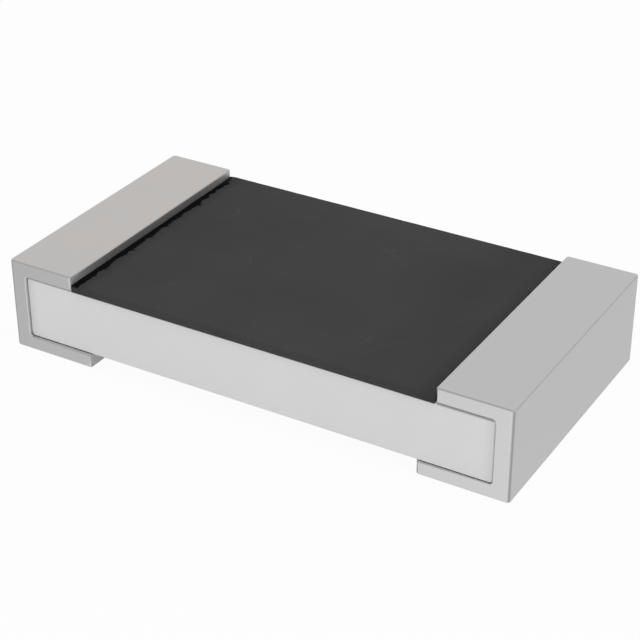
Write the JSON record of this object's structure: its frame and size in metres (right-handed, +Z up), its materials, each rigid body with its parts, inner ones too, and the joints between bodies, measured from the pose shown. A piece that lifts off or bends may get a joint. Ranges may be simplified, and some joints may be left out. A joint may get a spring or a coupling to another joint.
{
  "type": "smd chip resistor",
  "caption": "Thick-film surface-mount chip resistor: white ceramic block, black coat on top, and C-shaped tin end caps that wrap round both ends.",
  "frame": {"origin": "middle of the footprint, on the plane of the two solder pads", "axes": "+X along the chip from one cap to the other, +Y across it, +Z up from the board through the black coat"},
  "size_m": [0.0032, 0.0016, 0.0006],
  "materials": {
    "alumina": "white fired alumina, fine matte grain",
    "black_coat": "black screen-printed overcoat, semi-matte, faintly mottled",
    "tin_plate": "matte electroplated tin",
    "nickel_plate": "satin electroplated nickel",
    "edge_silver": "fired silver paste round the ends",
    "printed_silver": "printed and fired silver",
    "resistive_paste": "fired ruthenium oxide film, dark grey",
    "primary_glass": "green printed glass"
  },
  "bodies": {
    "root": {"alumina_substrate": "alumina", "protective_coat": "black_coat", "tin_cap_left": "tin_plate", "tin_cap_right": "tin_plate", "nickel_barrier_left": "nickel_plate", "nickel_barrier_right": "nickel_plate", "edge_electrode_left": "edge_silver", "edge_electrode_right": "edge_silver", "top_electrode_left": "printed_silver", "top_electrode_right": "printed_silver", "bottom_electrode_left": "printed_silver", "bottom_electrode_right": "printed_silver", "resistive_film": "resistive_paste", "glass_coat": "primary_glass"}
  },
  "joints": []
}
